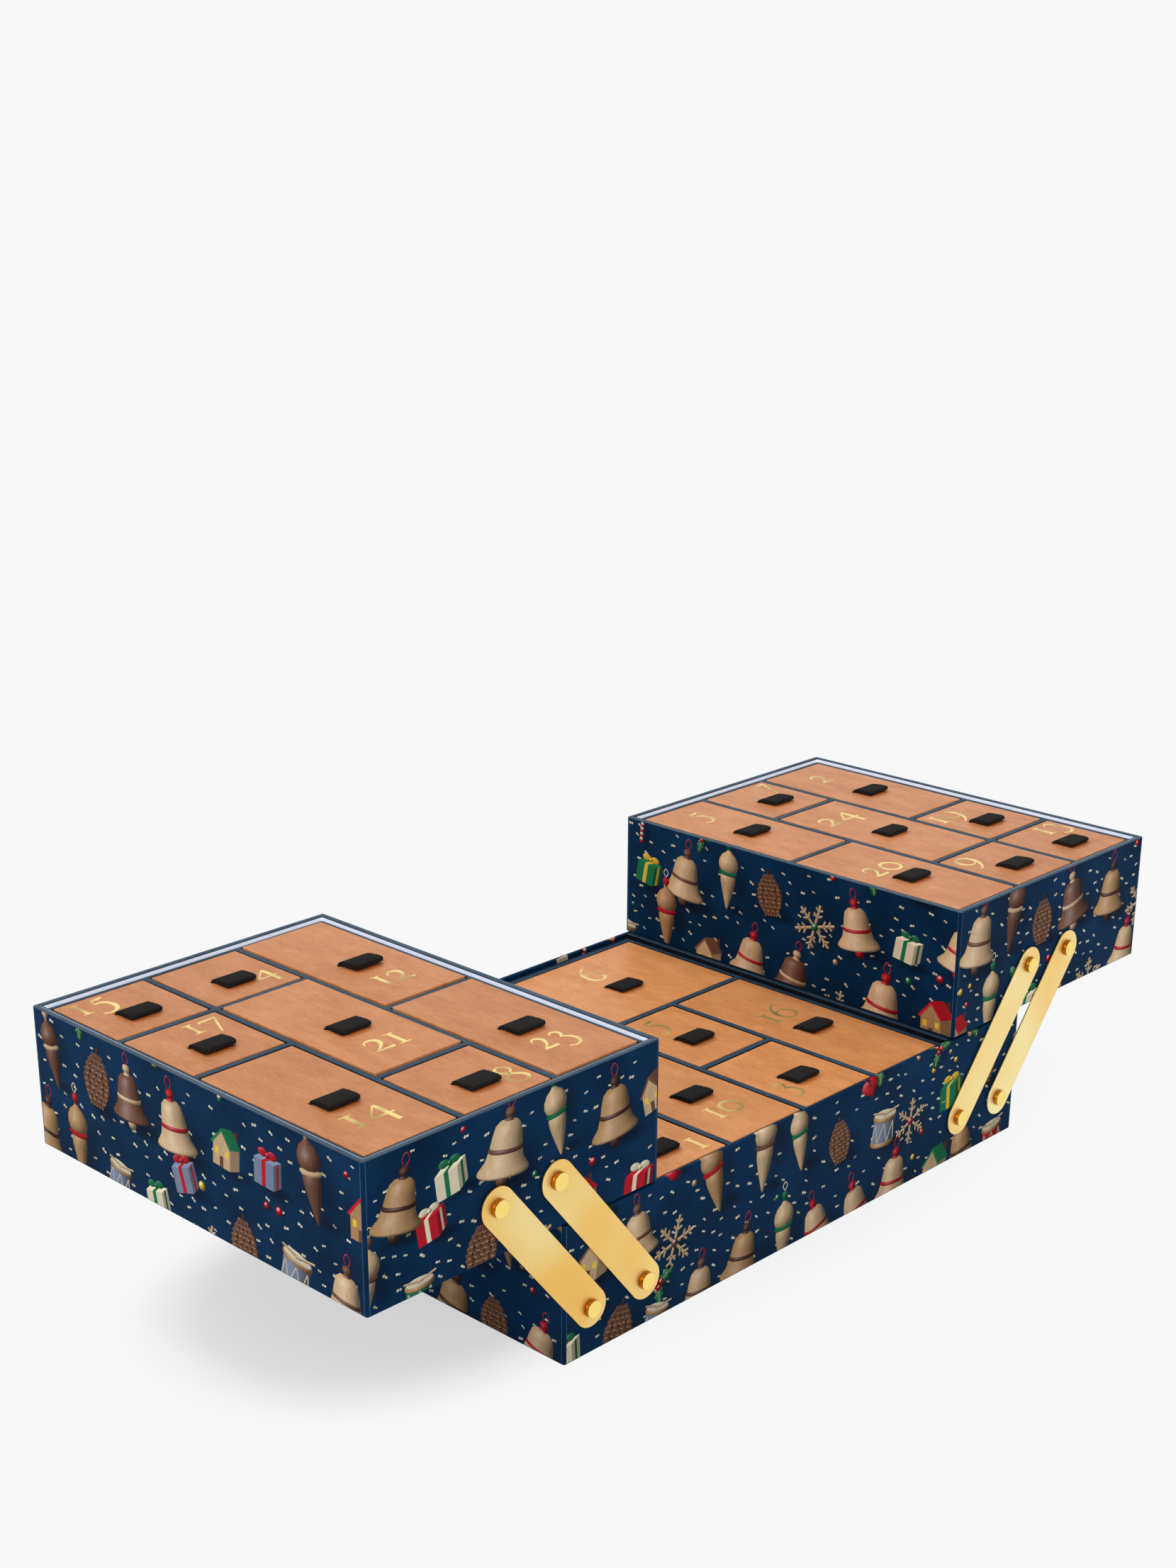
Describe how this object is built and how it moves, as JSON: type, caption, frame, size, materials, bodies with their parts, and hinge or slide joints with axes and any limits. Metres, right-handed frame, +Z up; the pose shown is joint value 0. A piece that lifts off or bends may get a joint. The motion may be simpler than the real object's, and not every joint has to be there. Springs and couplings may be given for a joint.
{
  "type": "advent calendar box",
  "caption": "Cantilever box calendar, shown open: a base and two upper trays on flat riveted arms, with numbered lift-off wooden lids that have ribbon pull tabs.",
  "frame": {"origin": "middle of the base box's underside, on the surface that it stands on", "axes": "+X along the base's length from the left tray to the right tray, +Y from the front face to the back face, +Z up"},
  "size_m": [0.66, 0.2734, 0.1627],
  "materials": {
    "navy_print_paper": "satin printed paper over board",
    "slate_board": "matt paper over board",
    "pale_lining": "gloss coated board",
    "veneer_lid": "satin veneer",
    "satin_gold": "satin",
    "polished_gold": "polished",
    "black_ribbon": "ribbed elastic ribbon",
    "gold_foil": "hot stamped foil"
  },
  "bodies": {
    "base": {"base_box": "navy_print_paper", "base_divider": "slate_board", "base_left_deck": "slate_board", "base_right_deck": "slate_board", "left_front_outer_base_rivet": "polished_gold", "left_front_inner_base_rivet": "polished_gold", "left_back_outer_base_rivet": "polished_gold", "left_back_inner_base_rivet": "polished_gold", "right_front_outer_base_rivet": "polished_gold", "right_front_inner_base_rivet": "polished_gold", "right_back_outer_base_rivet": "polished_gold", "right_back_inner_base_rivet": "polished_gold"},
    "left_tray": {"left_tray_box": "navy_print_paper", "left_tray_lining": "pale_lining", "left_tray_divider": "slate_board", "left_front_outer_tray_rivet": "polished_gold", "left_front_inner_tray_rivet": "polished_gold", "left_back_outer_tray_rivet": "polished_gold", "left_back_inner_tray_rivet": "polished_gold"},
    "right_tray": {"right_tray_box": "navy_print_paper", "right_tray_lining": "pale_lining", "right_tray_divider": "slate_board", "right_front_outer_tray_rivet": "polished_gold", "right_front_inner_tray_rivet": "polished_gold", "right_back_outer_tray_rivet": "polished_gold", "right_back_inner_tray_rivet": "polished_gold"},
    "left_front_outer_arm": {"left_front_outer_arm": "satin_gold"},
    "left_front_inner_arm": {"left_front_inner_arm": "satin_gold"},
    "left_back_outer_arm": {"left_back_outer_arm": "satin_gold"},
    "left_back_inner_arm": {"left_back_inner_arm": "satin_gold"},
    "right_front_outer_arm": {"right_front_outer_arm": "satin_gold"},
    "right_front_inner_arm": {"right_front_inner_arm": "satin_gold"},
    "right_back_outer_arm": {"right_back_outer_arm": "satin_gold"},
    "right_back_inner_arm": {"right_back_inner_arm": "satin_gold"},
    "lid_01": {"lid_01": "veneer_lid"},
    "lid_02": {"lid_02": "veneer_lid"},
    "lid_03": {"lid_03": "veneer_lid"},
    "lid_04": {"lid_04": "veneer_lid"},
    "lid_05": {"lid_05": "veneer_lid"},
    "lid_06": {"lid_06": "veneer_lid"},
    "lid_07": {"lid_07": "veneer_lid"},
    "lid_08": {"lid_08": "veneer_lid"},
    "lid_09": {"lid_09": "veneer_lid"},
    "lid_10": {"lid_10": "veneer_lid"},
    "lid_11": {"lid_11": "veneer_lid"},
    "lid_12": {"lid_12": "veneer_lid"},
    "lid_13": {"lid_13": "veneer_lid"},
    "lid_14": {"lid_14": "veneer_lid"},
    "lid_15": {"lid_15": "veneer_lid"},
    "lid_16": {"lid_16": "veneer_lid"},
    "lid_17": {"lid_17": "veneer_lid"},
    "lid_18": {"lid_18": "veneer_lid"},
    "lid_19": {"lid_19": "veneer_lid"},
    "lid_20": {"lid_20": "veneer_lid"},
    "lid_21": {"lid_21": "veneer_lid"},
    "lid_22": {"lid_22": "veneer_lid"},
    "lid_23": {"lid_23": "veneer_lid"},
    "lid_24": {"lid_24": "veneer_lid"},
    "lid_25": {"lid_25": "veneer_lid"}
  },
  "joints": [
    {"name": "left_swing", "type": "hinge", "parent": "base", "child": "left_front_outer_arm", "pos_m": [-0.1816, -0.1325, 0.0272], "axis": [0, -1, 0], "range_deg": [-77.35, 0]},
    {"name": "left_front_inner_turn", "type": "hinge", "parent": "base", "child": "left_front_inner_arm", "pos_m": [-0.1406, -0.1325, 0.0272], "axis": [0, -1, 0], "range_deg": [-77.4, 0]},
    {"name": "left_back_outer_turn", "type": "hinge", "parent": "base", "child": "left_back_outer_arm", "pos_m": [-0.1816, 0.1325, 0.0272], "axis": [0, -1, 0], "range_deg": [-77.4, 0]},
    {"name": "left_back_inner_turn", "type": "hinge", "parent": "base", "child": "left_back_inner_arm", "pos_m": [-0.1406, 0.1325, 0.0272], "axis": [0, -1, 0], "range_deg": [-77.4, 0]},
    {"name": "left_tray_turn", "type": "hinge", "parent": "left_front_outer_arm", "child": "left_tray", "pos_m": [-0.2466, -0.1325, 0.1084], "axis": [0, -1, 0], "range_deg": [0, 77.4]},
    {"name": "right_swing", "type": "hinge", "parent": "base", "child": "right_front_outer_arm", "pos_m": [0.1816, -0.1325, 0.0272], "axis": [0, 1, 0], "range_deg": [-77.35, 0]},
    {"name": "right_front_inner_turn", "type": "hinge", "parent": "base", "child": "right_front_inner_arm", "pos_m": [0.1406, -0.1325, 0.0272], "axis": [0, 1, 0], "range_deg": [-77.4, 0]},
    {"name": "right_back_outer_turn", "type": "hinge", "parent": "base", "child": "right_back_outer_arm", "pos_m": [0.1816, 0.1325, 0.0272], "axis": [0, 1, 0], "range_deg": [-77.4, 0]},
    {"name": "right_back_inner_turn", "type": "hinge", "parent": "base", "child": "right_back_inner_arm", "pos_m": [0.1406, 0.1325, 0.0272], "axis": [0, 1, 0], "range_deg": [-77.4, 0]},
    {"name": "right_tray_turn", "type": "hinge", "parent": "right_front_outer_arm", "child": "right_tray", "pos_m": [0.2466, -0.1325, 0.1084], "axis": [0, 1, 0], "range_deg": [0, 77.4]},
    {"name": "lid_01_lift", "type": "slide", "parent": "base", "child": "lid_01", "axis": [0, 0, 1], "range_m": [0, 0.06]},
    {"name": "lid_02_lift", "type": "slide", "parent": "right_tray", "child": "lid_02", "axis": [0, 0, 1], "range_m": [0, 0.06]},
    {"name": "lid_03_lift", "type": "slide", "parent": "base", "child": "lid_03", "axis": [0, 0, 1], "range_m": [0, 0.06]},
    {"name": "lid_04_lift", "type": "slide", "parent": "left_tray", "child": "lid_04", "axis": [0, 0, 1], "range_m": [0, 0.06]},
    {"name": "lid_05_lift", "type": "slide", "parent": "right_tray", "child": "lid_05", "axis": [0, 0, 1], "range_m": [0, 0.06]},
    {"name": "lid_06_lift", "type": "slide", "parent": "base", "child": "lid_06", "axis": [0, 0, 1], "range_m": [0, 0.06]},
    {"name": "lid_07_lift", "type": "slide", "parent": "right_tray", "child": "lid_07", "axis": [0, 0, 1], "range_m": [0, 0.06]},
    {"name": "lid_08_lift", "type": "slide", "parent": "left_tray", "child": "lid_08", "axis": [0, 0, 1], "range_m": [0, 0.06]},
    {"name": "lid_09_lift", "type": "slide", "parent": "right_tray", "child": "lid_09", "axis": [0, 0, 1], "range_m": [0, 0.06]},
    {"name": "lid_10_lift", "type": "slide", "parent": "base", "child": "lid_10", "axis": [0, 0, 1], "range_m": [0, 0.06]},
    {"name": "lid_11_lift", "type": "slide", "parent": "base", "child": "lid_11", "axis": [0, 0, 1], "range_m": [0, 0.06]},
    {"name": "lid_12_lift", "type": "slide", "parent": "left_tray", "child": "lid_12", "axis": [0, 0, 1], "range_m": [0, 0.06]},
    {"name": "lid_13_lift", "type": "slide", "parent": "right_tray", "child": "lid_13", "axis": [0, 0, 1], "range_m": [0, 0.06]},
    {"name": "lid_14_lift", "type": "slide", "parent": "left_tray", "child": "lid_14", "axis": [0, 0, 1], "range_m": [0, 0.06]},
    {"name": "lid_15_lift", "type": "slide", "parent": "left_tray", "child": "lid_15", "axis": [0, 0, 1], "range_m": [0, 0.06]},
    {"name": "lid_16_lift", "type": "slide", "parent": "base", "child": "lid_16", "axis": [0, 0, 1], "range_m": [0, 0.06]},
    {"name": "lid_17_lift", "type": "slide", "parent": "left_tray", "child": "lid_17", "axis": [0, 0, 1], "range_m": [0, 0.06]},
    {"name": "lid_18_lift", "type": "slide", "parent": "base", "child": "lid_18", "axis": [0, 0, 1], "range_m": [0, 0.06]},
    {"name": "lid_19_lift", "type": "slide", "parent": "right_tray", "child": "lid_19", "axis": [0, 0, 1], "range_m": [0, 0.06]},
    {"name": "lid_20_lift", "type": "slide", "parent": "right_tray", "child": "lid_20", "axis": [0, 0, 1], "range_m": [0, 0.06]},
    {"name": "lid_21_lift", "type": "slide", "parent": "left_tray", "child": "lid_21", "axis": [0, 0, 1], "range_m": [0, 0.06]},
    {"name": "lid_22_lift", "type": "slide", "parent": "base", "child": "lid_22", "axis": [0, 0, 1], "range_m": [0, 0.06]},
    {"name": "lid_23_lift", "type": "slide", "parent": "left_tray", "child": "lid_23", "axis": [0, 0, 1], "range_m": [0, 0.06]},
    {"name": "lid_24_lift", "type": "slide", "parent": "right_tray", "child": "lid_24", "axis": [0, 0, 1], "range_m": [0, 0.06]},
    {"name": "lid_25_lift", "type": "slide", "parent": "base", "child": "lid_25", "axis": [0, 0, 1], "range_m": [0, 0.06]}
  ],
  "couplings": [
    {"joint": "left_front_inner_turn", "follows": "left_swing", "ratio": 1},
    {"joint": "left_back_outer_turn", "follows": "left_swing", "ratio": 1},
    {"joint": "left_back_inner_turn", "follows": "left_swing", "ratio": 1},
    {"joint": "left_tray_turn", "follows": "left_swing", "ratio": -1},
    {"joint": "right_front_inner_turn", "follows": "right_swing", "ratio": 1},
    {"joint": "right_back_outer_turn", "follows": "right_swing", "ratio": 1},
    {"joint": "right_back_inner_turn", "follows": "right_swing", "ratio": 1},
    {"joint": "right_tray_turn", "follows": "right_swing", "ratio": -1}
  ]
}
